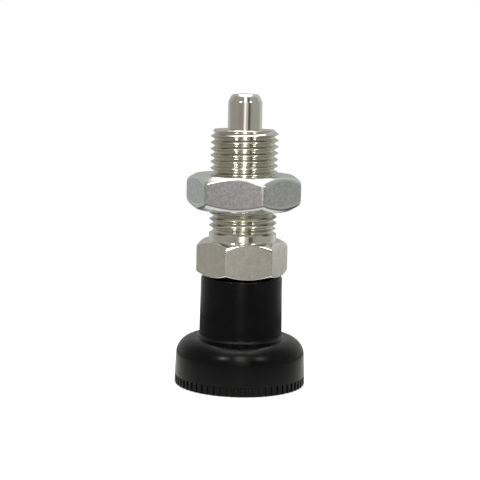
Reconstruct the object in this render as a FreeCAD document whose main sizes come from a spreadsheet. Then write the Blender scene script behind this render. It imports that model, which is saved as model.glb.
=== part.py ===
import FreeCAD, Part
import math
import os
import re

import Sketcher

# Indexing plunger with a lock nut, standing on the face of its knob.
# Millimetres. +Z runs up the axis to the tip of the pin, and the origin is
# the centre of the knob's outer face.
SIZES = {
    # knob, one moulding: a serrated disc and a sleeve
    "rim_diameter": 31.0,
    "rim_draft": 0.2,
    "disc_thickness": 11.3,
    "shoulder_radius": 4.3,
    "edge_chamfer": 0.5,
    "foot_chamfer": 0.5,
    "sleeve_foot_diameter": 19.7,
    "sleeve_mouth_diameter": 19.3,
    "sleeve_length": 14.4,
    "mouth_chamfer": 0.3,
    "mouth_gap": 0.3,
    # serrations round the outer edge of the disc
    "notch_count": 60,
    "notch_width": 1.1,
    "notch_depth": 0.35,
    "notch_length": 2.3,
    # coring behind the knob's cover
    "hub_wall": 2.0,
    "cover_ledge": 0.5,
    "core_roof": 2.5,
    "rib_count": 6,
    "rib_thickness": 1.5,
    # guide body, turned from hexagon bar
    "thread_diameter": 16.0,
    "thread_pitch": 1.5,
    "thread_depth": 0.92,
    "thread_length": 23.75,
    "thread_turn": 84.0,
    "thread_chamfer": 0.95,
    "barrel_length": 26.0,
    "collar_flats": 19.0,
    "collar_length": 8.5,
    "collar_face_diameter": 18.2,
    "neck_diameter": 14.0,
    "neck_length": 11.8,
    "guide_length": 18.0,
    "chamber_diameter": 11.5,
    # locking pin and its pull rod
    "pin_diameter": 8.0,
    "pin_reach": 8.4,
    "tip_taper": 0.6,
    "tip_length": 1.3,
    "tip_chamfer": 0.5,
    "tip_crown": 0.2,
    "groove_depth": 0.3,
    "groove_width": 1.0,
    "groove_cover": 0.1,
    "flange_diameter": 11.0,
    "flange_length": 3.0,
    "rod_diameter": 5.0,
    "rod_grip": 8.0,
    # rear bush and return spring
    "bush_length": 5.0,
    "wire_diameter": 1.0,
    "coil_diameter": 8.6,
    "coil_turns": 7,
    "chords_per_turn": 10,
    # knob insert, screw, washer and cover
    "insert_diameter": 9.4,
    "insert_floor": 1.5,
    "insert_groove": 0.6,
    "insert_web": 0.8,
    "screw_diameter": 3.0,
    "screw_length": 7.0,
    "screw_head_diameter": 5.5,
    "screw_head_height": 1.8,
    "hex_key": 2.0,
    "key_depth": 1.0,
    "washer_diameter": 7.0,
    "washer_thickness": 0.5,
    "cover_diameter": 24.0,
    "cover_thickness": 1.6,
    "cover_sink": 0.2,
    # lock nut
    "nut_flats": 24.0,
    "nut_height": 7.8,
    "nut_face_diameter": 21.9,
    "nut_place": 10.6,
    "nut_turn": -19.0,
    "nut_countersink": 0.6,
    # angles of the turned chamfers and of the thread's V
    "chamfer_angle": 30.0,
    "thread_angle": 60.0,
    # clearances
    "slide_clearance": 0.04,
    "press_clearance": 0.02,
    "loose_clearance": 0.3,
    "thread_clearance": 0.05,
    "cover_clearance": 0.1,
    "neck_end_gap": 0.6,
    "head_room": 0.7,
    "small_chamfer": 0.3,
}

doc = FreeCAD.newDocument("indexing_plunger")
sheet = doc.addObject("Spreadsheet::Sheet", "Sizes")
for row, (alias, size) in enumerate(SIZES.items(), start=1):
    sheet.set(f"A{row}", alias)
    sheet.set(f"B{row}", str(size))
    sheet.setAlias(f"B{row}", alias)
doc.recompute()

# Radii, each worked out from the sizes above.
rim_r = "(rim_diameter / 2)"
foot_r = "(sleeve_foot_diameter / 2)"
mouth_r = "(sleeve_mouth_diameter / 2)"
thread_r = "(thread_diameter / 2)"
neck_r = "(neck_diameter / 2)"
chamber_r = "(chamber_diameter / 2)"
pin_r = "(pin_diameter / 2)"
rod_r = "(rod_diameter / 2)"
insert_r = "(insert_diameter / 2)"
screw_r = "(screw_diameter / 2)"
head_r = "(screw_head_diameter / 2)"
cover_r = "(cover_diameter / 2)"
flange_r = "(flange_diameter / 2)"
washer_r = "(washer_diameter / 2)"
pocket_r = f"({washer_r} + small_chamfer)"
hub_r = f"({insert_r} + hub_wall)"
core_r = f"({cover_r} - cover_ledge)"
thread_root_r = f"({thread_r} - thread_depth)"

# Half widths of the thread's groove, at the crests and at the root.
thread_half = "(thread_pitch * 7 / 16)"
thread_root_half = f"({thread_half} - thread_depth * tan(thread_angle / 2))"

# Levels along the axis, from the knob's outer face up to the tip of the pin.
cover_top = "(cover_sink + cover_thickness)"
head_bottom = f"({cover_top} + head_room)"
washer_bottom = f"({head_bottom} + screw_head_height)"
insert_bottom = f"({washer_bottom} + washer_thickness)"
rod_bottom = f"({insert_bottom} + insert_floor)"
core_top = "(disc_thickness - core_roof)"
mouth = "(disc_thickness + sleeve_length)"
collar_back = f"({mouth} + mouth_gap)"
collar_face = f"({collar_back} + collar_length)"
thread_end = f"({collar_face} + barrel_length)"
thread_start = f"({thread_end} - min(thread_length; barrel_length - thread_pitch))"
pin_tip = f"({thread_end} + pin_reach)"
neck_end = f"({collar_back} - neck_length)"
cavity_floor = f"({neck_end} - neck_end_gap)"
insert_top = f"({cavity_floor} - insert_web)"
guide_end = f"({thread_end} - guide_length)"
flange_back = f"({guide_end} - flange_length)"
rod_top = f"({flange_back} + rod_grip)"
bush_front = f"({neck_end} + bush_length)"
nut_top = f"({thread_end} - nut_place)"
nut_bottom = f"({nut_top} - nut_height)"


def bound(expression):
    """Names the sheet in front of each size in an expression."""
    return re.sub(
        r"[a-z_]+",
        lambda word: f"Sizes.{word.group()}" if word.group() in SIZES else word.group(),
        expression,
    )


def value(expression):
    """Works an expression out as a number."""
    return float(sheet.evalExpression(bound(expression)))


def make_body(label):
    body = doc.addObject("PartDesign::Body", label)
    body.Label = label
    return body


def make_sketch(body, name, role, level="0"):
    """Adds a sketch on one of the body's own origin planes, at a level."""
    sketch = body.newObject("Sketcher::SketchObject", name)
    plane = next(item for item in body.Origin.OriginFeatures if item.Role == role)
    sketch.AttachmentSupport = [(plane, "")]
    sketch.MapMode = "FlatFace"
    sketch.setExpression("AttachmentOffset.Base.z", bound(level))
    return sketch


def arc_between(start, end, radius, way):
    """Gives the short arc from start to end, with the positions of both ends."""
    chord = end - start
    left = FreeCAD.Vector(-chord.y, chord.x, 0).normalize()
    rise = math.sqrt(max(radius**2 - (chord.Length / 2) ** 2, 0.0))
    centre = (start + end) / 2 + left * (rise if way == "ccw" else -rise)
    first, last = (start, end) if way == "ccw" else (end, start)
    angles = [math.atan2(p.y - centre.y, p.x - centre.x) for p in (first, last)]
    circle = Part.Circle(centre, FreeCAD.Vector(0, 0, 1), radius)
    return Part.ArcOfCircle(circle, *angles), (1, 2) if way == "ccw" else (2, 1)


def draw_outline(sketch, points):
    """Draws a closed outline through points whose places are expressions.

    A point is (x, y), or (x, y, way, radius) where an arc leaves it.
    """
    places = [FreeCAD.Vector(value(point[0]), value(point[1]), 0) for point in points]
    first = sketch.GeometryCount
    count = len(points)
    ends = []
    for index, point in enumerate(points):
        start, end = places[index], places[(index + 1) % count]
        if len(point) == 2:
            sketch.addGeometry(Part.LineSegment(start, end), False)
            ends.append((1, 2))
            continue
        arc, order = arc_between(start, end, value(point[3]), point[2])
        sketch.addGeometry(arc, False)
        ends.append(order)
    for index in range(count):
        following = (index + 1) % count
        sketch.addConstraint(
            Sketcher.Constraint(
                "Coincident", first + index, ends[index][1], first + following, ends[following][0]
            )
        )
    for index, point in enumerate(points):
        for kind, place, expression in (
            ("DistanceX", places[index].x, point[0]),
            ("DistanceY", places[index].y, point[1]),
        ):
            number = sketch.addConstraint(
                Sketcher.Constraint(kind, -1, 1, first + index, ends[index][0], place)
            )
            sketch.setExpression(f"Constraints[{number}]", bound(expression))
        if len(point) > 2:
            number = sketch.addConstraint(
                Sketcher.Constraint("Radius", first + index, value(point[3]))
            )
            sketch.setExpression(f"Constraints[{number}]", bound(point[3]))


def turn_profile(body, points):
    """Revolves an outline of (radius, level) points round the axis."""
    sketch = make_sketch(body, f"{body.Label}_profile", "XZ_Plane")
    draw_outline(sketch, points)
    feature = body.newObject("PartDesign::Revolution", f"{body.Label}_turned")
    feature.Profile = sketch
    feature.ReferenceAxis = (sketch, ["V_Axis"])
    feature.Angle = 360.0
    body.Tip = feature
    doc.recompute()


def check_cut(body, before):
    """Stops when a cut took nothing off, or an added form added nothing."""
    if math.isclose(body.Shape.Volume, before, rel_tol=1e-9):
        raise RuntimeError(f"{body.Label}: the last feature changed nothing")


def cut_hexagon(body, flats, turn, low, high, outside=True):
    """Cuts the six flats round a turned piece, or a hexagon socket into it."""
    before = body.Shape.Volume
    sketch = make_sketch(body, f"{body.Label}_hexagon", "XY_Plane", low)
    corner = f"({flats} / (2 * cos(30)))"
    draw_outline(
        sketch,
        [
            (f"{corner} * cos({turn} + {60 * k})", f"{corner} * sin({turn} + {60 * k})")
            for k in range(6)
        ],
    )
    if outside:
        circle = Part.Circle(FreeCAD.Vector(), FreeCAD.Vector(0, 0, 1), value(flats))
        number = sketch.addGeometry(circle, False)
        sketch.addConstraint(Sketcher.Constraint("Coincident", number, 3, -1, 1))
        size = sketch.addConstraint(Sketcher.Constraint("Radius", number, value(flats)))
        sketch.setExpression(f"Constraints[{size}]", bound(flats))
    pocket = body.newObject("PartDesign::Pocket", f"{body.Label}_flats")
    pocket.Profile = sketch
    pocket.setExpression("Length", bound(f"{high} - {low}"))
    pocket.Reversed = True
    body.Tip = pocket
    doc.recompute()
    check_cut(body, before)


def draw_block(body, name, level, low_x, high_x, width):
    """Draws a rectangle that lies evenly about the X axis."""
    sketch = make_sketch(body, name, "XY_Plane", level)
    draw_outline(
        sketch,
        [
            (low_x, f"-{width} / 2"),
            (high_x, f"-{width} / 2"),
            (high_x, f"{width} / 2"),
            (low_x, f"{width} / 2"),
        ],
    )
    return sketch


def repeat_round(body, feature, sketch, count):
    """Repeats a feature evenly round the axis."""
    before = body.Shape.Volume
    pattern = body.newObject("PartDesign::PolarPattern", f"{feature.Name}_round")
    pattern.Originals = [feature]
    pattern.Axis = (sketch, ["N_Axis"])
    pattern.Angle = 360.0
    pattern.setExpression("Occurrences", bound(count))
    body.Tip = pattern
    doc.recompute()
    check_cut(body, before)


def hexagon_bar(flats, face_diameter, low, high):
    """Gives the outer points of a hexagon collar with turned chamfers."""
    corner = f"({flats} / (2 * cos(30)))"
    face = f"({face_diameter} / 2)"
    drop = f"(({corner} - {face}) * tan(chamfer_angle))"
    return [
        (face, low),
        (corner, f"{low} + {drop}"),
        (corner, f"{high} - {drop}"),
        (face, high),
    ]


def cut_thread(body):
    """Cuts the thread along a helix, from the ring groove out of the barrel's end."""
    before = body.Shape.Volume
    sketch = make_sketch(body, "thread_groove", "XZ_Plane")
    sketch.AttachmentOffset = FreeCAD.Placement(
        FreeCAD.Vector(), FreeCAD.Rotation(FreeCAD.Vector(0, 1, 0), SIZES["thread_turn"])
    )
    sketch.setExpression("AttachmentOffset.Rotation.Angle", bound("thread_turn"))
    past = "(thread_pitch / 16)"
    past_half = f"({thread_half} + {past} * tan(thread_angle / 2))"
    draw_outline(
        sketch,
        [
            (thread_root_r, f"{thread_start} - {thread_root_half}"),
            (f"{thread_r} + {past}", f"{thread_start} - {past_half}"),
            (f"{thread_r} + {past}", f"{thread_start} + {past_half}"),
            (thread_root_r, f"{thread_start} + {thread_root_half}"),
        ],
    )
    thread = body.newObject("PartDesign::SubtractiveHelix", "barrel_thread")
    thread.Profile = sketch
    thread.ReferenceAxis = (sketch, ["V_Axis"])
    thread.Mode = "pitch-height-angle"
    thread.setExpression("Pitch", bound("thread_pitch"))
    thread.setExpression("Height", bound(f"{thread_end} - {thread_start} + thread_pitch"))
    body.Tip = thread
    doc.recompute()
    check_cut(body, before)


def make_guide_body():
    body = make_body("guide_body")
    bore_r = f"({pin_r} + slide_clearance)"
    turn_profile(
        body,
        [
            (chamber_r, neck_end),
            (f"{neck_r} - small_chamfer", neck_end),
            (neck_r, f"{neck_end} + small_chamfer"),
            (neck_r, collar_back),
            *hexagon_bar("collar_flats", "collar_face_diameter", collar_back, collar_face),
            (thread_r, collar_face),
            (thread_r, f"{thread_start} - {thread_half}"),
            (thread_root_r, f"{thread_start} - {thread_root_half}"),
            (thread_root_r, f"{thread_start} + {thread_root_half}"),
            (thread_r, f"{thread_start} + {thread_half}"),
            (thread_r, f"{thread_end} - thread_chamfer"),
            (f"{thread_r} - thread_chamfer", thread_end),
            (f"{bore_r} + small_chamfer", thread_end),
            (bore_r, f"{thread_end} - small_chamfer"),
            (bore_r, guide_end),
            (chamber_r, guide_end),
        ],
    )
    cut_hexagon(body, "collar_flats", "0", collar_back, collar_face)
    cut_thread(body)


def make_lock_nut():
    body = make_body("lock_nut")
    bore_r = f"({thread_r} + thread_clearance)"
    turn_profile(
        body,
        [
            (f"{bore_r} + nut_countersink", nut_bottom),
            *hexagon_bar("nut_flats", "nut_face_diameter", nut_bottom, nut_top),
            (f"{bore_r} + nut_countersink", nut_top),
            (bore_r, f"{nut_top} - nut_countersink"),
            (bore_r, f"{nut_bottom} + nut_countersink"),
        ],
    )
    cut_hexagon(body, "nut_flats", "nut_turn", nut_bottom, nut_top)


def make_locking_pin():
    body = make_body("locking_pin")
    socket_r = f"({rod_r} + press_clearance)"
    socket_top = f"({rod_top} + small_chamfer)"
    nose_r = f"({pin_r} - tip_taper)"
    crown_r = f"({nose_r} - tip_chamfer)"
    edge = f"({pin_tip} - tip_crown)"
    # a grease groove, just hidden below the mouth of the bore
    groove_top = f"({thread_end} - groove_cover)"
    groove_bottom = f"({groove_top} - groove_width)"
    turn_profile(
        body,
        [
            ("0", socket_top),
            (socket_r, socket_top),
            (socket_r, flange_back),
            (f"{flange_r} - small_chamfer", flange_back),
            (flange_r, f"{flange_back} + small_chamfer"),
            (flange_r, f"{guide_end} - small_chamfer"),
            (f"{flange_r} - small_chamfer", guide_end),
            (pin_r, guide_end),
            (pin_r, groove_bottom),
            (f"{pin_r} - groove_depth", groove_bottom),
            (f"{pin_r} - groove_depth", groove_top),
            (pin_r, groove_top),
            (pin_r, f"{edge} - tip_chamfer - tip_length"),
            (nose_r, f"{edge} - tip_chamfer"),
            (crown_r, edge),
            ("0", pin_tip),
        ],
    )


def make_pull_rod():
    body = make_body("pull_rod")
    hole_r = f"({screw_r} + press_clearance)"
    hole_top = f"({washer_bottom} + screw_length + small_chamfer)"
    turn_profile(
        body,
        [
            ("0", hole_top),
            (hole_r, hole_top),
            (hole_r, rod_bottom),
            (f"{rod_r} - small_chamfer", rod_bottom),
            (rod_r, f"{rod_bottom} + small_chamfer"),
            (rod_r, f"{rod_top} - small_chamfer"),
            (f"{rod_r} - small_chamfer", rod_top),
            ("0", rod_top),
        ],
    )


def make_rear_bush():
    body = make_body("rear_bush")
    outer_r = f"({chamber_r} - press_clearance)"
    bore_r = f"({rod_r} + slide_clearance)"
    turn_profile(
        body,
        [
            (f"{bore_r} + small_chamfer", neck_end),
            (outer_r, neck_end),
            (outer_r, f"{bush_front} - small_chamfer"),
            (f"{outer_r} - small_chamfer", bush_front),
            (bore_r, bush_front),
            (bore_r, f"{neck_end} + small_chamfer"),
        ],
    )


def make_return_spring():
    """Sweeps the wire along chords of its helix, past both seats, and grinds the ends flat."""
    length = f"({flange_back} - {bush_front})"
    sweep_start = value(f"{bush_front} - wire_diameter")
    sweep_length = value(f"{length} + 2 * wire_diameter")
    rise = value(f"{length} / (coil_turns * chords_per_turn)")
    step = 2 * math.pi / SIZES["chords_per_turn"]
    nodes = [
        FreeCAD.Vector(
            SIZES["coil_diameter"] / 2 * math.cos(step * index),
            SIZES["coil_diameter"] / 2 * math.sin(step * index),
            sweep_start + rise * index,
        )
        for index in range(math.ceil(sweep_length / rise) + 1)
    ]
    helix = doc.addObject("Part::Polygon", "spring_helix")
    helix.Nodes = nodes
    helix.Close = False
    wire = doc.addObject("Part::Circle", "spring_wire")
    wire.setExpression("Radius", bound("wire_diameter / 2"))
    along = FreeCAD.Rotation(FreeCAD.Vector(0, 0, 1), nodes[1] - nodes[0])
    wire.Placement = FreeCAD.Placement(nodes[0], along)
    coil = doc.addObject("Part::Sweep", "spring_coil")
    coil.Sections = [wire]
    coil.Spine = (helix, [])
    coil.Solid = True
    coil.Transition = "Right corner"
    space = doc.addObject("Part::Cylinder", "spring_space")
    space.setExpression("Radius", bound("coil_diameter / 2 + wire_diameter"))
    space.setExpression("Height", bound(length))
    space.setExpression("Placement.Base.z", bound(bush_front))
    spring = doc.addObject("Part::Common", "return_spring")
    spring.Label = "return_spring"
    spring.Base = coil
    spring.Tool = space
    doc.recompute()


def make_pull_knob():
    body = make_body("pull_knob")
    top_r = f"({rim_r} - rim_draft)"
    foot = f"min(foot_chamfer; ({top_r} - {foot_r}) / 2)"
    shoulder = f"min(shoulder_radius; {top_r} - {foot_r} - {foot} - small_chamfer)"
    rod_hole_r = f"({rod_r} + cover_clearance)"
    seat_r = f"({cover_r} + cover_clearance)"
    middle = f"(({insert_bottom} + {insert_top}) / 2)"
    turn_profile(
        body,
        [
            (seat_r, "0"),
            (f"{rim_r} - edge_chamfer", "0"),
            (rim_r, "edge_chamfer"),
            (rim_r, "notch_length"),
            (top_r, f"disc_thickness - {shoulder}", "ccw", shoulder),
            (f"{top_r} - {shoulder}", "disc_thickness"),
            (f"{foot_r} + {foot}", "disc_thickness"),
            (foot_r, f"disc_thickness + {foot}"),
            (mouth_r, f"{mouth} - mouth_chamfer"),
            (f"{mouth_r} - mouth_chamfer", mouth),
            (f"{neck_r} + loose_clearance", mouth),
            (f"{neck_r} + loose_clearance", cavity_floor),
            (rod_hole_r, cavity_floor),
            (rod_hole_r, insert_top),
            (insert_r, insert_top),
            (insert_r, f"{middle} + insert_groove"),
            (f"{insert_r} - insert_groove", f"{middle} + insert_groove"),
            (f"{insert_r} - insert_groove", f"{middle} - insert_groove"),
            (insert_r, f"{middle} - insert_groove"),
            (insert_r, insert_bottom),
            (pocket_r, insert_bottom),
            (pocket_r, cover_top),
            (hub_r, cover_top),
            (hub_r, core_top),
            (core_r, core_top),
            (core_r, cover_top),
            (seat_r, cover_top),
        ],
    )
    before = body.Shape.Volume
    rib_sketch = draw_block(
        body,
        "rib_sketch",
        cover_top,
        f"{hub_r} - hub_wall / 2",
        f"{core_r} + cover_ledge",
        "rib_thickness",
    )
    rib = body.newObject("PartDesign::Pad", "knob_rib")
    rib.Profile = rib_sketch
    rib.setExpression("Length", bound(f"{core_top} - {cover_top}"))
    body.Tip = rib
    doc.recompute()
    check_cut(body, before)
    repeat_round(body, rib, rib_sketch, "rib_count")
    before = body.Shape.Volume
    notch_sketch = draw_block(
        body, "notch_sketch", "0", f"{rim_r} - notch_depth", f"{rim_r} + notch_depth", "notch_width"
    )
    notch = body.newObject("PartDesign::Pocket", "rim_notch")
    notch.Profile = notch_sketch
    notch.setExpression("Length", bound("notch_length"))
    notch.Reversed = True
    body.Tip = notch
    doc.recompute()
    check_cut(body, before)
    repeat_round(body, notch, notch_sketch, "notch_count")


def make_knob_insert():
    body = make_body("knob_insert")
    outer_r = f"({insert_r} - press_clearance)"
    groove_r = f"({outer_r} - insert_groove)"
    rod_hole_r = f"({rod_r} + press_clearance)"
    screw_hole_r = f"({screw_r} + cover_clearance)"
    middle = f"(({insert_bottom} + {insert_top}) / 2)"
    turn_profile(
        body,
        [
            (screw_hole_r, insert_bottom),
            (outer_r, insert_bottom),
            (outer_r, f"{middle} - insert_groove"),
            (groove_r, f"{middle} - insert_groove"),
            (groove_r, f"{middle} + insert_groove"),
            (outer_r, f"{middle} + insert_groove"),
            (outer_r, insert_top),
            (rod_hole_r, insert_top),
            (rod_hole_r, rod_bottom),
            (screw_hole_r, rod_bottom),
        ],
    )


def make_knob_screw():
    body = make_body("knob_screw")
    screw_tip = f"({washer_bottom} + screw_length)"
    turn_profile(
        body,
        [
            ("0", head_bottom),
            (f"{head_r} - small_chamfer", head_bottom),
            (head_r, f"{head_bottom} + small_chamfer"),
            (head_r, washer_bottom),
            (screw_r, washer_bottom),
            (screw_r, f"{screw_tip} - small_chamfer"),
            (f"{screw_r} - small_chamfer", screw_tip),
            ("0", screw_tip),
        ],
    )
    cut_hexagon(body, "hex_key", "0", head_bottom, f"({head_bottom} + key_depth)", outside=False)


def make_knob_washer():
    body = make_body("knob_washer")
    hole_r = f"({screw_r} + cover_clearance)"
    turn_profile(
        body,
        [
            (hole_r, washer_bottom),
            (washer_r, washer_bottom),
            (washer_r, insert_bottom),
            (hole_r, insert_bottom),
        ],
    )


def make_knob_cover():
    """A disc over the coring, with a tube that plugs into the screw's pocket."""
    body = make_body("knob_cover")
    plug_r = f"({pocket_r} - cover_clearance)"
    plug_bore_r = f"({head_r} + loose_clearance)"
    plug_top = f"({washer_bottom} - loose_clearance)"
    turn_profile(
        body,
        [
            ("0", "cover_sink"),
            (f"{cover_r} - small_chamfer", "cover_sink"),
            (cover_r, "cover_sink + small_chamfer"),
            (cover_r, cover_top),
            (plug_r, cover_top),
            (plug_r, plug_top),
            (plug_bore_r, plug_top),
            (plug_bore_r, cover_top),
            ("0", cover_top),
        ],
    )


make_guide_body()
make_rear_bush()
make_lock_nut()
make_locking_pin()
make_pull_rod()
make_return_spring()
make_pull_knob()
make_knob_insert()
make_knob_screw()
make_knob_washer()
make_knob_cover()
doc.recompute()

for item in doc.Objects:
    if {"Invalid", "Error"} & set(item.State):
        raise RuntimeError(f"{item.Name} is {item.State}")

NODES = (
    "guide_body",
    "rear_bush",
    "lock_nut",
    "locking_pin",
    "pull_rod",
    "return_spring",
    "pull_knob",
    "knob_insert",
    "knob_screw",
    "knob_washer",
    "knob_cover",
)
shapes = {}
for node in NODES:
    shape = doc.getObjectsByLabel(node)[0].Shape
    if shape.isNull() or not shape.isValid():
        raise RuntimeError(f"{node} has no valid shape")
    if len(shape.Solids) != 1:
        raise RuntimeError(f"{node} has {len(shape.Solids)} solids")
    shapes[node] = shape

os.makedirs("parts", exist_ok=True)
for node, shape in shapes.items():
    shape.exportStep(os.path.join("parts", f"{node}.step"))
    print(f"{node}: {shape.Volume:.1f} mm3")
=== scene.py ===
import math

import bmesh
import bpy
from mathutils import Matrix, Vector


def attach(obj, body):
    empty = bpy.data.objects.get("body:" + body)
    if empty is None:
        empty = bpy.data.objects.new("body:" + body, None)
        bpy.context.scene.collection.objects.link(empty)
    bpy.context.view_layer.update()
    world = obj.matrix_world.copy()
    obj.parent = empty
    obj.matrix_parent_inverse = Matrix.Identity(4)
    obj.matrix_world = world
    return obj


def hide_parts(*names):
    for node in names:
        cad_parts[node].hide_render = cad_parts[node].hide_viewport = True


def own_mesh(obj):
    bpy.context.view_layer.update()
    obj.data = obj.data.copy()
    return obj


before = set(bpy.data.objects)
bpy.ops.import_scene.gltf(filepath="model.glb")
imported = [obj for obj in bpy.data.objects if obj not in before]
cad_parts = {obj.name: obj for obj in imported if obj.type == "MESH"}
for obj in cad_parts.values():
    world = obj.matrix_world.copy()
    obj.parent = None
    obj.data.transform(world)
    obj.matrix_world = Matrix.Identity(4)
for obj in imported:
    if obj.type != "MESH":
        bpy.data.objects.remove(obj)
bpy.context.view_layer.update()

MM = 0.001

# Sizes of the part, in millimetres.
RIM_R = 15.5
RIM_TOP_R = 15.3
DISC = 11.3
SHOULDER = 4.3
FOOT_R = 9.85
MOUTH_R = 9.6
MOUTH = 25.7
FOOT_CHAMFER = 0.5
NOTCHES = 60
NOTCH_FLOOR_R = 15.15
NOTCH_LENGTH = 2.3
NECK_R = 7.0
SLEEVE_BORE_R = 7.3
SLEEVE_FLOOR = 13.6
INSERT_R = 4.7
INSERT_LOW = 4.8
INSERT_HIGH = 12.8
ROD_CLEAR_R = 2.6
WELL_R = 3.8
HUB_R = 6.7
CORE_R = 11.5
CORE_TOP = 8.8
COVER_SEAT_R = 12.1
COVER_TOP = 1.8
THREAD_R = 8.0
CREST_R = 7.97
ROOT_R = 7.02
THREAD_END = 60.5
RELIEF_LEVEL = 36.75
RELIEF_HALF = 0.67
RELIEF_FLAT = 0.13
THREAD_CHAMFER = 0.95
PITCH = 1.5
CREST_LEVEL = 1.15
NECK_END = 14.2
CHAMBER_R = 5.75
GUIDE_END = 42.5
BORE_R = 4.04
COLLAR_LOW = 26.0
COLLAR_HIGH = 34.5
COLLAR_FLATS = 19.0
COLLAR_CORNER = 0.3
NUT_LOW = 41.8
NUT_HIGH = 49.95
NUT_FLATS = 24.0
NUT_CORNER = 1.15
NUT_TURN = -19.0
NUT_MINOR_R = 7.19
NUT_MAJOR_R = 8.06
NUT_SINK_R = 8.65
NUT_SLACK = 0.03
PIN_R = 4.0
PIN_TIP = 68.9
PIN_GROOVE = 0.3
PIN_GROOVE_LOW = 59.4
PIN_GROOVE_HIGH = 60.4
ROD_HOLE_R = 2.52
ROD_HOLE_END = 47.8
FLANGE_R = 5.5
FLANGE_BACK = 39.5
BUSH_FRONT = 19.2
WIRE_R = 0.5
COIL_R = 4.3
COIL_TURNS = 7

# Rounding of the thread's crests and root, in millimetres.
CREST_SOFT = 0.035
ROOT_ROUND = 0.16
ROOT_FILL = 0.125

# Points closer than this, in metres, are one point.
WELD = 2e-7

# The photograph's view: where the camera stands round the axis, in degrees,
# and its distance and height in millimetres.
VIEW_TURN = -99.48
VIEW_DISTANCE = 316.9
VIEW_HEIGHT = 76.3
VIEW_DOWN = 7.54
VIEW_ROLL = 1.25
VIEW_PAN = 0.103
VIEW_LENS = 101.25

# How bright the floor looks by itself, and where it fades into the background, in metres.
FLOOR_WHITE = 0.35
FADE_START = 0.06
FADE_END = 0.16


# Meshes: one profile of (radius, level) points for each angle round the axis


def softened(points, closed=True):
    """Rounds the corners of a profile: points are (r, z) or (r, z, radius, steps)."""
    count = len(points)
    made = []
    for index, point in enumerate(points):
        here = Vector(point[:2])
        if len(point) == 2 or (not closed and index in (0, count - 1)):
            made.append((here.x, here.y))
            continue
        radius, steps = point[2:]
        before = Vector(points[index - 1][:2]) - here
        after = Vector(points[(index + 1) % count][:2]) - here
        turn = math.pi - before.angle(after)
        reach = min(radius * math.tan(turn / 2), 0.45 * before.length, 0.45 * after.length)
        start = here + before.normalized() * reach
        end = here + after.normalized() * reach
        for step in range(steps + 1):
            t = step / steps
            spot = start * (1 - t) ** 2 + here * (2 * t * (1 - t)) + end * t**2
            made.append((spot.x, spot.y))
    return made


def arc(centre_r, centre_z, radius, first, last, steps):
    """Points of an arc in the profile, from one angle to another in degrees."""
    return [
        (
            centre_r + radius * math.cos(math.radians(first + (last - first) * k / steps)),
            centre_z + radius * math.sin(math.radians(first + (last - first) * k / steps)),
        )
        for k in range(steps + 1)
    ]


def wrap(name, angles, profile, closed=True, seam=None, finish=None, materials=(), sharp=30):
    """Skins profile(angle) round the axis.

    seam gives the row that a row meets again after a full turn, and finish the material
    number of the strip above a row.
    """
    columns = [profile(angle) for angle in angles]
    rows = len(columns[0])
    mesh = bpy.data.meshes.new(name)
    work = bmesh.new()
    grid = [
        [
            work.verts.new((r * math.cos(angle) * MM, r * math.sin(angle) * MM, z * MM))
            for r, z in column
        ]
        for angle, column in zip(angles, columns)
    ]
    for index, column in enumerate(grid):
        last = index == len(grid) - 1
        following = grid[(index + 1) % len(grid)]
        for row in range(rows if closed else rows - 1):
            above = (row + 1) % rows
            corners = [
                column[row],
                following[seam(row) if seam and last else row],
                following[seam(above) if seam and last else above],
                column[above],
            ]
            distinct = list(dict.fromkeys(corners))
            if len(distinct) < 3:
                continue
            face = work.faces.new(distinct)
            face.smooth = True
            if finish:
                face.material_index = finish(row)
    bmesh.ops.remove_doubles(work, verts=work.verts, dist=WELD)
    bmesh.ops.dissolve_degenerate(work, edges=work.edges, dist=WELD)
    bmesh.ops.recalc_face_normals(work, faces=work.faces)
    work.to_mesh(mesh)
    work.free()
    mesh.set_sharp_from_angle(angle=math.radians(sharp))
    piece = bpy.data.objects.new(name, mesh)
    bpy.context.scene.collection.objects.link(piece)
    for material in materials:
        mesh.materials.append(material)
    weighted = piece.modifiers.new("even_normals", "WEIGHTED_NORMAL")
    weighted.keep_sharp = True
    weighted.weight = 60
    return piece


def ring_angles(count, corners=(), near=()):
    """Even angles round the axis, with more beside each corner, in radians."""
    spots = {round(360 * k / count, 4) for k in range(count)}
    for corner in corners:
        spots = {s for s in spots if abs((s - corner + 180) % 360 - 180) > max(near) + 0.6}
        for offset in near:
            spots |= {round((corner + offset) % 360, 4), round((corner - offset) % 360, 4)}
    return [math.radians(s) for s in sorted(spots)]


def hexagon_radius(angle, flats, turn, rounding):
    """Distance from the axis to the wall of a hexagon with rounded corners."""
    apothem = flats / 2
    away = (math.degrees(angle) - turn + 30) % 60 - 30
    off_corner = math.radians(away)
    centre = (apothem - rounding) / math.cos(math.radians(30))
    tangent = math.atan2(centre / 2, apothem)
    if math.radians(30) - abs(off_corner) <= tangent:
        return apothem / math.cos(math.radians(30) - abs(off_corner))
    return centre * math.cos(off_corner) + math.sqrt(
        rounding**2 - (centre * math.sin(off_corner)) ** 2
    )


# Screw thread: rows that climb with the angle, flattened against both ends

# Rows of one pitch, as shares of it from the crest's middle to the grooves' centres.
THREAD_ROWS = [-0.5, -0.44, -0.39, -0.33, -0.26, -0.19, -0.12, -0.07, -0.045]
THREAD_ROWS += [0.0, 0.045, 0.07, 0.12, 0.19, 0.26, 0.33, 0.39, 0.44]


def thread_radius(gap, major, minor, slack=0.0):
    """Radius of the thread's surface at a distance from the nearest groove's centre."""
    along = PITCH / 2 - gap
    flank = major - max(0.0, along - PITCH / 16 + slack) * math.sqrt(3)
    if flank > minor + ROOT_ROUND:
        return flank - CREST_SOFT * min(1.0, along / (PITCH / 16)) ** 2
    half = PITCH / 2 - (PITCH / 16 + (major - minor - ROOT_ROUND) / math.sqrt(3))
    return minor + ROOT_FILL * min(1.0, gap / half) ** 2


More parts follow.
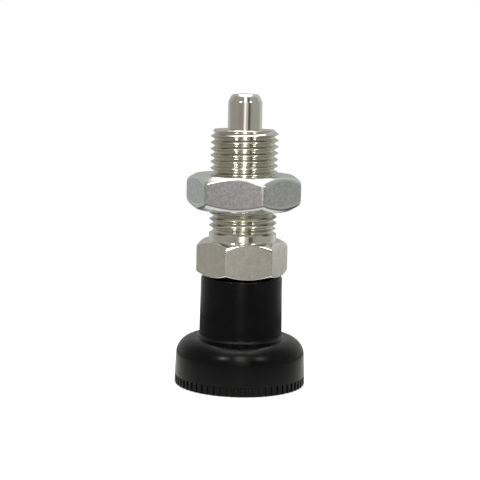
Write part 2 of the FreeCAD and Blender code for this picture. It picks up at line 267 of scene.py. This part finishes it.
def thread_rows(angle, low, high, radius_at, relief=False):
    """One column of a helical thread between two levels.

    With a relief, the lowest crest rises out of a ring groove whose centre is the low level.
    """
    turn = (angle / (2 * math.pi)) % 1.0
    start = CREST_LEVEL + PITCH * math.floor((low - CREST_LEVEL) / PITCH - 2)
    turns = math.ceil((high - low) / PITCH) + 5
    column = []
    for number in range(turns):
        groove = start + PITCH * (number - 0.5 + turn)
        foot = max(groove, low) if relief else groove
        span = max(0.0, groove + PITCH - foot)
        for phase in THREAD_ROWS:
            share = phase + 0.5
            level = min(max(foot + share * span, low), high)
            column.append((radius_at(min(share, 1 - share) * span, level), level))
    return column


def thread_seam(first, count):
    """After a turn each thread row meets the one that is a pitch higher."""
    step = len(THREAD_ROWS)

    def seam(row):
        if first <= row < first + count:
            return min(row + step, first + count - 1)
        return row

    return seam


# Materials


def new_material(name):
    """A material with its nodes, links, shader and object coordinates."""
    material = bpy.data.materials.new(name)
    material.use_nodes = True
    nodes = material.node_tree.nodes
    links = material.node_tree.links
    shader = nodes["Principled BSDF"]
    coordinates = nodes.new("ShaderNodeTexCoord")
    return material, nodes, links, shader, coordinates.outputs["Object"]


def stretched(nodes, links, source, scale):
    mapping = nodes.new("ShaderNodeMapping")
    mapping.inputs["Scale"].default_value = scale
    links.new(source, mapping.inputs["Vector"])
    return mapping.outputs["Vector"]


def noise(nodes, links, source, scale, detail=2.0, rough=0.5):
    made = nodes.new("ShaderNodeTexNoise")
    made.inputs["Scale"].default_value = scale
    made.inputs["Detail"].default_value = detail
    made.inputs["Roughness"].default_value = rough
    links.new(source, made.inputs["Vector"])
    return made.outputs["Fac"]


def ranged(nodes, links, source, low, high):
    """Spreads the middle of a noise over a range."""
    made = nodes.new("ShaderNodeMapRange")
    made.inputs["From Min"].default_value = 0.3
    made.inputs["From Max"].default_value = 0.7
    made.inputs["To Min"].default_value = low
    made.inputs["To Max"].default_value = high
    links.new(source, made.inputs["Value"])
    return made.outputs["Result"]


def two_colours(nodes, links, source, first, second):
    """Blends two colours over the middle of a noise."""
    ramp = nodes.new("ShaderNodeValToRGB")
    ramp.color_ramp.elements[0].position = 0.35
    ramp.color_ramp.elements[0].color = (*first, 1)
    ramp.color_ramp.elements[1].position = 0.65
    ramp.color_ramp.elements[1].color = (*second, 1)
    links.new(source, ramp.inputs["Fac"])
    return ramp.outputs["Color"]


def bumped(nodes, links, heights):
    """Chains bumps, each (height, strength, depth in millimetres)."""
    normal = None
    for height, strength, depth in heights:
        bump = nodes.new("ShaderNodeBump")
        bump.inputs["Strength"].default_value = strength
        bump.inputs["Distance"].default_value = depth * MM
        links.new(height, bump.inputs["Height"])
        if normal:
            links.new(normal, bump.inputs["Normal"])
        normal = bump.outputs["Normal"]
    return normal


# Depth of the tool lines in millimetres, and how fine the metals' grain is.
LINE_DEPTH = 0.002
METAL_GRAIN_SCALE = 5200.0

# How dark the gloss of the black mouldings is, against 0.5 for a usual plastic.
PLASTIC_GLOSS = 0.16


def metal(name, first, second, rough, patch=180.0, lines=None, grain=0.0):
    """A metal with patches of two tones, uneven roughness, tool lines and a fine grain.

    lines is the stretch of the tool lines: turned work has them round the axis, drawn
    bar along it.
    """
    material, nodes, links, shader, place = new_material(name)
    shader.inputs["Metallic"].default_value = 1.0
    patches = noise(nodes, links, place, patch, 4.0, 0.6)
    colour = two_colours(nodes, links, patches, first, second)
    links.new(colour, shader.inputs["Base Color"])
    cloud = noise(nodes, links, place, patch * 2.3, 3.0, 0.65)
    links.new(ranged(nodes, links, cloud, *rough), shader.inputs["Roughness"])
    heights = []
    if lines:
        drawn = stretched(nodes, links, place, lines)
        scratches = noise(nodes, links, drawn, 1.0, 3.0, 0.7)
        heights.append((scratches, 0.5, LINE_DEPTH))
    if grain:
        speck = noise(nodes, links, place, METAL_GRAIN_SCALE, 2.0, 0.6)
        heights.append((speck, 0.4, grain))
    if heights:
        links.new(bumped(nodes, links, heights), shader.inputs["Normal"])
    return material


def plastic(name, first, second, rough, grain):
    """A matt black moulding with a fine spark-eroded grain."""
    material, nodes, links, shader, place = new_material(name)
    shader.inputs["Specular IOR Level"].default_value = PLASTIC_GLOSS
    patches = noise(nodes, links, place, 260.0, 4.0, 0.6)
    colour = two_colours(nodes, links, patches, first, second)
    links.new(colour, shader.inputs["Base Color"])
    cloud = noise(nodes, links, place, 420.0, 3.0, 0.6)
    links.new(ranged(nodes, links, cloud, *rough), shader.inputs["Roughness"])
    fine = noise(nodes, links, place, 3300.0, 2.0, 0.6)
    soft = noise(nodes, links, place, 900.0, 2.0, 0.5)
    links.new(
        bumped(nodes, links, [(soft, 0.25, 0.03), (fine, 0.5, grain)]),
        shader.inputs["Normal"],
    )
    return material


# Stretch of the tool lines: turned, ground and drawn.
ROUND = (30.0, 30.0, 9000.0)
GROUND = (40.0, 40.0, 14000.0)
ALONG = (2600.0, 2600.0, 50.0)

body_turned = metal(
    "body_turned", (0.66, 0.65, 0.6), (0.74, 0.73, 0.68), (0.08, 0.15), lines=ROUND
)
body_flats = metal(
    "body_flats", (0.62, 0.6, 0.54), (0.71, 0.69, 0.63), (0.25, 0.37), patch=700.0
)
thread_cut = metal(
    "thread_cut", (0.61, 0.59, 0.525), (0.69, 0.67, 0.605), (0.1, 0.17), lines=ROUND
)
nut_turned = metal(
    "nut_turned", (0.64, 0.655, 0.635), (0.7, 0.71, 0.685), (0.18, 0.27), lines=ROUND
)
nut_flats = metal(
    "nut_flats",
    (0.43, 0.43, 0.465),
    (0.66, 0.66, 0.675),
    (0.26, 0.42),
    patch=1900.0,
    grain=0.006,
)
pin_ground = metal(
    "pin_ground", (0.66, 0.655, 0.6), (0.71, 0.705, 0.65), (0.07, 0.12), lines=GROUND
)
rod_drawn = metal(
    "rod_drawn", (0.6, 0.6, 0.58), (0.66, 0.66, 0.64), (0.2, 0.3), lines=ALONG
)
spring_wire = metal(
    "spring_wire", (0.5, 0.5, 0.49), (0.58, 0.58, 0.57), (0.22, 0.34), grain=0.003
)
screw_plated = metal(
    "screw_plated", (0.62, 0.63, 0.64), (0.7, 0.7, 0.7), (0.22, 0.36), grain=0.004
)
brass_turned = metal(
    "brass_turned", (0.72, 0.56, 0.28), (0.78, 0.62, 0.33), (0.2, 0.3), lines=ROUND
)
knob_black = plastic(
    "knob_black", (0.0008, 0.0009, 0.0012), (0.0018, 0.002, 0.0025), (0.2, 0.3), 0.008
)
cover_black = plastic(
    "cover_black", (0.005, 0.0053, 0.006), (0.0075, 0.008, 0.009), (0.36, 0.48), 0.01
)


def dress(node, material):
    """Gives a CAD node its finish."""
    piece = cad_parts[node]
    piece.data.materials.clear()
    piece.data.materials.append(material)


def stand_for(piece, body, node):
    """Puts a piece in the place of a CAD node."""
    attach(piece, body)
    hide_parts(node)


# Guide body: hexagon collar, plain shank and the M16 thread


def body_radius(gap, level):
    """The thread with the chamfer at its end."""
    tip = THREAD_R - THREAD_CHAMFER + (THREAD_END - level)
    return min(thread_radius(gap, CREST_R, ROOT_R), tip)


CHAMFER = math.radians(30)

# How each turned chamfer meets its hexagon: the radius of the end face, and how far the
# rounding reaches from the sharp edge, at the middle of a flat and at a corner.
NUT_BACK = (11.1, 1.0, 1.0)
NUT_FRONT = (11.5, 0.5, 0.95)
COLLAR_BACK = (9.1, 0.12, 0.55)
COLLAR_FRONT = (9.1, 0.12, 0.8)


def turned_edge(wall, apothem, corner_r, form):
    """Points (radius, drop) of a turned 30 degree chamfer, rounded into the wall."""
    face_r, flat_reach, corner_reach = form
    share = (wall - apothem) / (corner_r - apothem)
    reach = flat_reach + (corner_reach - flat_reach) * share
    along = min(reach, 0.75 * (wall - face_r) / math.cos(CHAMFER))
    edge = Vector((wall, (wall - face_r) * math.tan(CHAMFER)))
    start = edge - Vector((math.cos(CHAMFER), math.sin(CHAMFER))) * along
    end = edge + Vector((0, reach))
    points = [(face_r, 0.0, 0.35, 3)]
    steps = 5
    for step in range(steps + 1):
        t = step / steps
        spot = start * (1 - t) ** 2 + edge * (2 * t * (1 - t)) + end * t**2
        points.append((spot.x, spot.y))
    return points


def hexagon_points(angle, flats, turn, corner, back, front):
    """Outer points of a hexagon with turned chamfers. back and front are (level, form)."""
    corner_r = hexagon_radius(math.radians(turn), flats, turn, corner)
    wall = hexagon_radius(angle, flats, turn, corner)
    (low, low_form), (high, high_form) = back, front
    lower = turned_edge(wall, flats / 2, corner_r, low_form)
    upper = turned_edge(wall, flats / 2, corner_r, high_form)
    return [(r, low + drop, *more) for r, drop, *more in lower] + [
        (r, high - drop, *more) for r, drop, *more in reversed(upper)
    ]


def flats_row(column, inner):
    """The row of the hexagon's flats: the tallest step outside the inner radius."""
    steps = [
        (after[1] - before[1], row)
        for row, (before, after) in enumerate(zip(column, column[1:]))
        if min(before[0], after[0]) > inner
    ]
    return max((abs(rise), row) for rise, row in steps)[1]


def body_profile(angle):
    """The guide body from its bore, round the neck and the collar, to the thread's end.

    Rows on the plain walls keep their shading clear of the rounded corners.
    """
    lower = softened(
        [
            (BORE_R, GUIDE_END),
            (CHAMBER_R, GUIDE_END),
            (CHAMBER_R, NECK_END),
            (NECK_R, NECK_END, 0.3, 2),
            (NECK_R, NECK_END + 0.8),
            (NECK_R, COLLAR_LOW - 0.5),
            (NECK_R, COLLAR_LOW, 0.2, 2),
            *hexagon_points(
                angle,
                COLLAR_FLATS,
                0.0,
                COLLAR_CORNER,
                (COLLAR_LOW, COLLAR_BACK),
                (COLLAR_HIGH, COLLAR_FRONT),
            ),
            (CREST_R, COLLAR_HIGH, 0.25, 3),
            (CREST_R, COLLAR_HIGH + 0.55),
            (CREST_R, RELIEF_LEVEL - RELIEF_HALF - 0.13),
            (CREST_R, RELIEF_LEVEL - RELIEF_HALF, 0.03, 1),
            (ROOT_R, RELIEF_LEVEL - RELIEF_FLAT, 0.06, 1),
            (ROOT_R, RELIEF_LEVEL - 0.02),
        ],
        closed=False,
    )
    thread = thread_rows(angle, RELIEF_LEVEL, THREAD_END, body_radius, relief=True)
    upper = [
        (BORE_R + 0.3, THREAD_END),
        (BORE_R + 0.08, THREAD_END - 0.08),
        (BORE_R, THREAD_END - 0.3),
    ]
    body_profile.first = len(lower)
    body_profile.count = len(thread)
    return lower + thread + upper


# Degrees from a corner of the hexagon to the columns beside it.
corner_spread = (0.0, 0.35, 0.7, 1.05, 1.5)
body_angles = ring_angles(120, [60.0 * k for k in range(6)], corner_spread)
collar_row = flats_row(body_profile(0.0), CREST_R + 0.1)


def body_finish(row):
    """The flats of the collar keep the drawn bar's finish, and the thread has its own."""
    root_rows = 3
    if body_profile.first - root_rows <= row < body_profile.first + body_profile.count:
        return 2
    return 1 if row == collar_row else 0


guide = wrap(
    "guide_body_detail",
    body_angles,
    body_profile,
    seam=thread_seam(body_profile.first, body_profile.count),
    finish=body_finish,
    materials=(body_turned, body_flats, thread_cut),
)
stand_for(guide, "housing", "guide_body")


# Lock nut


def nut_radius(gap, level):
    """The nut's thread with a countersink of 45 degrees at both ends."""
    r = thread_radius(gap, NUT_MAJOR_R, NUT_MINOR_R, slack=NUT_SLACK)
    return max(r, NUT_SINK_R - (level - NUT_LOW), NUT_SINK_R - (NUT_HIGH - level))


def nut_profile(angle):
    outer = softened(
        [
            (NUT_SINK_R, NUT_HIGH),
            *hexagon_points(
                angle,
                NUT_FLATS,
                NUT_TURN,
                NUT_CORNER,
                (NUT_LOW, NUT_BACK),
                (NUT_HIGH, NUT_FRONT),
            )[::-1],
            (NUT_SINK_R, NUT_LOW),
        ],
        closed=False,
    )
    thread = thread_rows(angle, NUT_LOW, NUT_HIGH, nut_radius)
    nut_profile.count = len(thread)
    return thread + outer[1:-1]


nut_row = flats_row(nut_profile(0.0), NUT_SINK_R + 0.05)


def nut_finish(row):
    """The flats are mottled, and all else is turned."""
    return 1 if row == nut_row else 0


nut_spread = (0.0, 0.5, 1.0, 1.5, 2.0, 2.6, 3.3)
nut_angles = ring_angles(120, [(NUT_TURN + 60.0 * k) % 360 for k in range(6)], nut_spread)
nut = wrap(
    "lock_nut_detail",
    nut_angles,
    nut_profile,
    seam=thread_seam(0, nut_profile.count),
    finish=nut_finish,
    materials=(nut_turned, nut_flats),
)
stand_for(nut, "nut", "lock_nut")


# Locking pin

pin_points = softened(
    [
        (0.0, ROD_HOLE_END),
        (ROD_HOLE_R, ROD_HOLE_END),
        (ROD_HOLE_R, FLANGE_BACK),
        (FLANGE_R, FLANGE_BACK, 0.3, 3),
        (FLANGE_R, GUIDE_END, 0.3, 3),
        (PIN_R, GUIDE_END),
        (PIN_R, PIN_GROOVE_LOW, 0.04, 1),
        (PIN_R - PIN_GROOVE, PIN_GROOVE_LOW),
        (PIN_R - PIN_GROOVE, PIN_GROOVE_HIGH),
        (PIN_R, PIN_GROOVE_HIGH, 0.04, 1),
        (PIN_R, PIN_TIP - 2.0, 1.2, 4),
        (PIN_R - 0.6, PIN_TIP - 0.7, 0.55, 4),
        (PIN_R - 1.1, PIN_TIP - 0.2, 0.7, 4),
        (0.0, PIN_TIP),
    ],
    closed=False,
)
pin = wrap(
    "locking_pin_detail",
    ring_angles(96),
    lambda angle: pin_points,
    closed=False,
    materials=(pin_ground,),
)
stand_for(pin, "plunger", "locking_pin")


# Pull knob: serrated disc and sleeve in one moulding



def sleeve_radius(level):
    """Radius of the drafted sleeve. Rows on it keep its shading clear of its rounded ends."""
    foot = DISC + FOOT_CHAMFER
    return FOOT_R + (MOUTH_R - FOOT_R) * (level - foot) / (MOUTH - foot)


rim_arc = arc(RIM_TOP_R - SHOULDER, DISC - SHOULDER, SHOULDER, 0, 90, 22)
knob_points = softened(
    [
        (COVER_SEAT_R, COVER_TOP),
        (COVER_SEAT_R, 0.0, 0.2, 2),
        (RIM_R, 0.0, 0.55, 5),
        (RIM_R, 0.75),
        (RIM_R, 1.3),
        (RIM_R, NOTCH_LENGTH - 0.22),
        (RIM_R, NOTCH_LENGTH - 0.12),
        (RIM_R, NOTCH_LENGTH - 0.04),
        (RIM_R, NOTCH_LENGTH + 0.04),
        (RIM_R - 0.01, NOTCH_LENGTH + 0.35),
        *rim_arc,
        (FOOT_R + FOOT_CHAMFER, DISC, 0.25, 2),
        (FOOT_R, DISC + FOOT_CHAMFER, 0.35, 3),
        (sleeve_radius(DISC + 1.3), DISC + 1.3),
        (sleeve_radius(MOUTH - 0.9), MOUTH - 0.9),
        (MOUTH_R, MOUTH, 0.35, 5),
        (SLEEVE_BORE_R, MOUTH, 0.15, 2),
        (SLEEVE_BORE_R, SLEEVE_FLOOR),
        (ROD_CLEAR_R, SLEEVE_FLOOR),
        (ROD_CLEAR_R, INSERT_HIGH),
        (INSERT_R, INSERT_HIGH),
        (INSERT_R, INSERT_LOW),
        (WELL_R, INSERT_LOW),
        (WELL_R, COVER_TOP),
        (HUB_R, COVER_TOP),
        (HUB_R, CORE_TOP),
        (CORE_R, CORE_TOP),
        (CORE_R, COVER_TOP),
    ]
)
# Columns of one serration: degrees from the notch's middle, and share of its depth.
NOTCH_SIDES = ((-3.0, 0.0), (-2.36, 0.0), (-2.16, 0.15), (-2.02, 0.7), (-1.86, 1.0))
NOTCH_SIDES += ((-0.9, 1.0), (0.0, 1.0), (0.9, 1.0))
NOTCH_SIDES += ((1.86, 1.0), (2.02, 0.7), (2.16, 0.15), (2.36, 0.0))
notch_share = {}
for number in range(NOTCHES):
    for offset, share in NOTCH_SIDES:
        place = round((number * 360 / NOTCHES + offset) % 360, 4)
        notch_share[math.radians(place)] = share


def knob_profile(angle):
    """The moulding's outline, with the notches in its rim running out at their top."""
    run_out = 0.16
    column = []
    for r, z in knob_points:
        depth = max(0.0, r - NOTCH_FLOOR_R) * notch_share[angle]
        depth *= min(1.0, max(0.0, NOTCH_LENGTH - z) / run_out) ** 2
        column.append((r - depth, z))
    return column


knob = wrap(
    "pull_knob_detail",
    sorted(notch_share),
    knob_profile,
    materials=(knob_black,),
    sharp=40,
)
stand_for(knob, "plunger", "pull_knob")


# Return spring: a smooth coil with ends ground flat


def make_spring():
    """The coil, with its first and last turn flattened against the bush and the flange."""
    low, high = BUSH_FRONT, FLANGE_BACK
    rise = (high - low) / COIL_TURNS
    first, last = WIRE_R / rise, (high - low + 3 * WIRE_R) / rise
    turn_steps, around = 40, 16
    steps = int((last - first) * turn_steps)
    mesh = bpy.data.meshes.new("return_spring_detail")
    work = bmesh.new()
    rings = []
    for k in range(steps + 1):
        t = first + (last - first) * k / steps
        angle = 2 * math.pi * t
        level = low - 2 * WIRE_R + rise * t
        ring = []
        for m in range(around):
            a = 2 * math.pi * m / around
            r = COIL_R + WIRE_R * math.cos(a)
            z = min(max(level + WIRE_R * math.sin(a), low), high)
            ring.append(
                work.verts.new((r * math.cos(angle) * MM, r * math.sin(angle) * MM, z * MM))
            )
        rings.append(ring)
    for before, after in zip(rings, rings[1:]):
        for m in range(around):
            n = (m + 1) % around
            work.faces.new((before[m], before[n], after[n], after[m])).smooth = True
    bmesh.ops.remove_doubles(work, verts=work.verts, dist=WELD)
    bmesh.ops.dissolve_degenerate(work, edges=work.edges, dist=WELD)
    bmesh.ops.recalc_face_normals(work, faces=work.faces)
    work.to_mesh(mesh)
    work.free()
    mesh.set_sharp_from_angle(angle=math.radians(40))
    mesh.materials.append(spring_wire)
    piece = bpy.data.objects.new("return_spring_detail", mesh)
    bpy.context.scene.collection.objects.link(piece)
    return piece


spring = make_spring()
stand_for(spring, "spring", "return_spring")
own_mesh(spring)


# CAD nodes that stay

dress("rear_bush", brass_turned)
dress("pull_rod", rod_drawn)
dress("knob_insert", brass_turned)
dress("knob_screw", screw_plated)
dress("knob_washer", screw_plated)
dress("knob_cover", cover_black)


# Stage: floor, world, lamps and camera


def view_frame():
    """The camera's right, up and forward directions, and its place, in metres."""
    down, pan = math.radians(VIEW_DOWN), math.radians(VIEW_PAN)
    right = Vector((math.cos(pan), math.sin(pan), 0))
    forward = Vector(
        (-math.sin(pan) * math.cos(down), math.cos(pan) * math.cos(down), -math.sin(down))
    )
    up = right.cross(forward)
    roll = math.radians(VIEW_ROLL)
    right, up = (
        right * math.cos(roll) + up * math.sin(roll),
        up * math.cos(roll) - right * math.sin(roll),
    )
    turn = Matrix.Rotation(math.radians(VIEW_TURN + 90), 3, "Z")
    place = turn @ Vector((0, -VIEW_DISTANCE * MM, VIEW_HEIGHT * MM))
    return turn @ right, turn @ up, turn @ forward, place


right, up, forward, eye = view_frame()
camera_data = bpy.data.cameras.new("camera")
camera_data.lens = VIEW_LENS
camera_data.sensor_width = 36.0
camera_data.clip_start = 0.01
camera_data.clip_end = 20.0
camera = bpy.data.objects.new("camera", camera_data)
bpy.context.scene.collection.objects.link(camera)
basis = Matrix((right, up, -forward)).transposed().to_4x4()
camera.matrix_world = Matrix.Translation(eye) @ basis
bpy.context.scene.camera = camera


def shown_rays(nodes, links):
    """1 for the rays that see the background: from the camera, and by metal or glass."""
    path = nodes.new("ShaderNodeLightPath")
    some = nodes.new("ShaderNodeMath")
    some.operation = "MAXIMUM"
    links.new(path.outputs["Is Camera Ray"], some.inputs[0])
    links.new(path.outputs["Is Glossy Ray"], some.inputs[1])
    either = nodes.new("ShaderNodeMath")
    either.operation = "MAXIMUM"
    links.new(some.outputs["Value"], either.inputs[0])
    links.new(path.outputs["Is Transmission Ray"], either.inputs[1])
    return either.outputs["Value"]


def blank_material(name):
    """A material with nothing but its output."""
    material = bpy.data.materials.new(name)
    material.use_nodes = True
    nodes, links = material.node_tree.nodes, material.node_tree.links
    nodes.clear()
    output = nodes.new("ShaderNodeOutputMaterial")
    return material, nodes, links, output.inputs["Surface"]


def stage_mesh(name, points, faces, material):
    """A studio mesh with one material, linked to the scene."""
    mesh = bpy.data.meshes.new(name)
    mesh.from_pydata(points, [], faces)
    mesh.materials.append(material)
    made = bpy.data.objects.new(name, mesh)
    bpy.context.scene.collection.objects.link(made)
    return made


def make_floor():
    """A pale floor that fades into the white background and keeps the soft shadow."""
    material, nodes, links, surface = blank_material("floor_pale")
    pale = nodes.new("ShaderNodeBsdfDiffuse")
    pale.inputs["Color"].default_value = (0.86, 0.86, 0.85, 1)
    white = nodes.new("ShaderNodeEmission")
    white.inputs["Strength"].default_value = FLOOR_WHITE
    bright = nodes.new("ShaderNodeAddShader")
    links.new(pale.outputs["BSDF"], bright.inputs[0])
    links.new(white.outputs["Emission"], bright.inputs[1])
    clear = nodes.new("ShaderNodeBsdfTransparent")
    place = nodes.new("ShaderNodeTexCoord")
    reach = nodes.new("ShaderNodeVectorMath")
    reach.operation = "LENGTH"
    links.new(place.outputs["Object"], reach.inputs[0])
    fade = nodes.new("ShaderNodeMapRange")
    fade.interpolation_type = "SMOOTHSTEP"
    fade.inputs["From Min"].default_value = FADE_START
    fade.inputs["From Max"].default_value = FADE_END
    links.new(reach.outputs["Value"], fade.inputs["Value"])
    under = nodes.new("ShaderNodeNewGeometry")
    gone = nodes.new("ShaderNodeMath")
    gone.operation = "MAXIMUM"
    links.new(fade.outputs["Result"], gone.inputs[0])
    links.new(under.outputs["Backfacing"], gone.inputs[1])
    seen = nodes.new("ShaderNodeMixShader")
    links.new(gone.outputs["Value"], seen.inputs["Fac"])
    links.new(bright.outputs["Shader"], seen.inputs[1])
    links.new(clear.outputs["BSDF"], seen.inputs[2])
    mix = nodes.new("ShaderNodeMixShader")
    links.new(shown_rays(nodes, links), mix.inputs["Fac"])
    links.new(pale.outputs["BSDF"], mix.inputs[1])
    links.new(seen.outputs["Shader"], mix.inputs[2])
    links.new(mix.outputs["Shader"], surface)
    half, level = 0.6, -0.00005
    corners = [(-half, -half), (half, -half), (half, half), (-half, half)]
    floor = stage_mesh("floor", [(x, y, level) for x, y in corners], [(0, 1, 2, 3)], material)
    # The knob stands on the floor, so the floor stays under it when it is pulled.
    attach(floor, "plunger")


# Grey of the studio's wall by angle to the right of the camera, in degrees.
WALL = [
    (-180, (0.42, 0.43, 0.41)),
    (-139, (0.56, 0.58, 0.56)),
    (-100, (0.4, 0.38, 0.335)),
    (-60, (0.39, 0.39, 0.34)),
    (-26, (0.33, 0.32, 0.31)),
    (-15, (0.36, 0.35, 0.32)),
    (-6, (0.64, 0.62, 0.55)),
    (8, (0.68, 0.66, 0.59)),
    (17, (0.62, 0.6, 0.54)),
    (23, (0.12, 0.11, 0.1)),
    (30, (0.12, 0.11, 0.1)),
    (42, (0.4, 0.4, 0.35)),
    (52, (0.42, 0.43, 0.37)),
    (100, (0.43, 0.44, 0.39)),
    (139, (0.7, 0.72, 0.69)),
    (180, (0.42, 0.43, 0.41)),
]


def make_wall():
    """A round grey wall, which only the metal and the light see."""
    material, nodes, links, surface = blank_material("wall_grey")
    place = nodes.new("ShaderNodeTexCoord")
    split = nodes.new("ShaderNodeSeparateXYZ")
    links.new(place.outputs["Object"], split.inputs["Vector"])
    bearing = nodes.new("ShaderNodeMath")
    bearing.operation = "ARCTAN2"
    links.new(split.outputs["Y"], bearing.inputs[0])
    links.new(split.outputs["X"], bearing.inputs[1])
    share = nodes.new("ShaderNodeMapRange")
    share.inputs["From Min"].default_value = -math.pi
    share.inputs["From Max"].default_value = math.pi
    links.new(bearing.outputs["Value"], share.inputs["Value"])
    greys = nodes.new("ShaderNodeValToRGB")
    greys.color_ramp.interpolation = "EASE"
    elements = greys.color_ramp.elements
    elements.remove(elements[-1])
    for index, (angle, colour) in enumerate(WALL):
        spot = elements[0] if index == 0 else elements.new((angle + 180) / 360)
        spot.position = (angle + 180) / 360
        spot.color = (*colour, 1)
    links.new(share.outputs["Result"], greys.inputs["Fac"])
    glow = nodes.new("ShaderNodeEmission")
    links.new(greys.outputs["Color"], glow.inputs["Color"])
    links.new(glow.outputs["Emission"], surface)
    count = 96
    ring = [2 * math.pi * k / count for k in range(count)]
    outline = ((1.0, -0.4), (1.0, 0.55), (0.55, 0.9))
    points = [(r * math.cos(a), r * math.sin(a), z) for r, z in outline for a in ring]
    faces = []
    for row in (0, count):
        for k in range(count):
            n = (k + 1) % count
            faces.append((row + k, row + n, row + count + n, row + count + k))
    wall = stage_mesh("studio_wall", points, faces, material)
    wall.rotation_euler.z = math.radians(VIEW_TURN)
    wall.visible_camera = False
    wall.visible_shadow = False


# Grey of the card round the object by distance from the axis, in metres.
CARD = [
    (0.0, 1.0),
    (0.034, 1.0),
    (0.05, 0.75),
    (0.062, 0.25),
    (0.072, 0.1),
    (0.1, 0.1),
    (0.114, 0.35),
    (0.124, 0.8),
    (0.136, 0.8),
    (0.15, 0.34),
    (0.195, 0.38),
]


def make_card():
    """A grey card on the floor, which only shows as a reflection in the object."""
    material, nodes, links, surface = blank_material("card_grey")
    place = nodes.new("ShaderNodeTexCoord")
    reach = nodes.new("ShaderNodeVectorMath")
    reach.operation = "LENGTH"
    links.new(place.outputs["Object"], reach.inputs[0])
    outer = CARD[-1][0]
    share = nodes.new("ShaderNodeMapRange")
    share.inputs["From Max"].default_value = outer
    links.new(reach.outputs["Value"], share.inputs["Value"])
    greys = nodes.new("ShaderNodeValToRGB")
    elements = greys.color_ramp.elements
    elements.remove(elements[-1])
    for index, (distance, grey) in enumerate(CARD):
        spot = elements[0] if index == 0 else elements.new(distance / outer)
        spot.position = distance / outer
        spot.color = (grey, grey, 0.97 * grey, 1)
    links.new(share.outputs["Result"], greys.inputs["Fac"])
    glow = nodes.new("ShaderNodeEmission")
    links.new(greys.outputs["Color"], glow.inputs["Color"])
    links.new(glow.outputs["Emission"], surface)
    count, level = 64, -0.00003
    ring = [2 * math.pi * k / count for k in range(count)]
    points = [(outer * math.cos(a), outer * math.sin(a), level) for a in ring]
    card = stage_mesh("grey_card", points, [tuple(range(count))], material)
    card.visible_camera = False
    card.visible_diffuse = False
    card.visible_shadow = False
    card.visible_transmission = False
    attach(card, "plunger")


# Level of the plain light from all sides.
WORLD_LEVEL = 0.6


def make_world():
    """White behind the object, and a plain grey level of light from above."""
    world = bpy.data.worlds.new("studio")
    bpy.context.scene.world = world
    world.use_nodes = True
    nodes, links = world.node_tree.nodes, world.node_tree.links
    nodes.clear()
    output = nodes.new("ShaderNodeOutputWorld")
    white = nodes.new("ShaderNodeBackground")
    white.inputs["Color"].default_value = (1, 1, 1, 1)
    white.inputs["Strength"].default_value = 1.0
    plain = nodes.new("ShaderNodeBackground")
    plain.inputs["Color"].default_value = (1, 1, 1, 1)
    plain.inputs["Strength"].default_value = WORLD_LEVEL
    mix = nodes.new("ShaderNodeMixShader")
    links.new(shown_rays(nodes, links), mix.inputs["Fac"])
    links.new(plain.outputs["Background"], mix.inputs[1])
    links.new(white.outputs["Background"], mix.inputs[2])
    links.new(mix.outputs["Shader"], output.inputs["Surface"])


make_floor()
make_wall()
make_card()
make_world()


# The lamps stand round this level on the axis, at this distance, in metres.
LAMP_AIM = 0.035
LAMP_DISTANCE = 0.6


def lamp(name, turn, rise, width, height, glow, colour, tilt=0.0):
    """A soft box. turn is to the right of the camera and rise above the floor, in degrees."""
    bearing = math.radians(VIEW_TURN + turn)
    lift = math.radians(rise)
    target = Vector((0, 0, LAMP_AIM))
    back = Vector(
        (
            math.cos(bearing) * math.cos(lift),
            math.sin(bearing) * math.cos(lift),
            math.sin(lift),
        )
    )
    data = bpy.data.lights.new(name, "AREA")
    data.shape = "RECTANGLE"
    data.size, data.size_y = width, height
    data.energy = glow * math.pi * width * height
    data.color = colour
    made = bpy.data.objects.new(name, data)
    bpy.context.scene.collection.objects.link(made)
    made.location = target + back * LAMP_DISTANCE
    facing = back.to_track_quat("Z", "Y").to_matrix()
    made.rotation_euler = (facing @ Matrix.Rotation(math.radians(tilt), 3, "Z")).to_euler()


lamp("front_strip", 2, 7, 0.12, 0.34, 0.75, (1.0, 0.88, 0.84), tilt=-18)
lamp("front_low", -2, -6.5, 0.2, 0.05, 1.0, (1.0, 0.97, 0.88))
lamp("front_lamp", 1, 37, 0.08, 0.32, 11.0, (1.0, 0.97, 0.91))
lamp("top_box", 180, 78, 0.4, 0.62, 3.2, (1.0, 1.0, 0.98))
lamp("left_spot", -34, 34, 0.09, 0.16, 15.0, (1.0, 0.98, 0.93))
lamp("right_spot", 41, 34, 0.09, 0.16, 11.0, (1.0, 0.98, 0.93))

bpy.context.scene.view_settings.view_transform = "Standard"
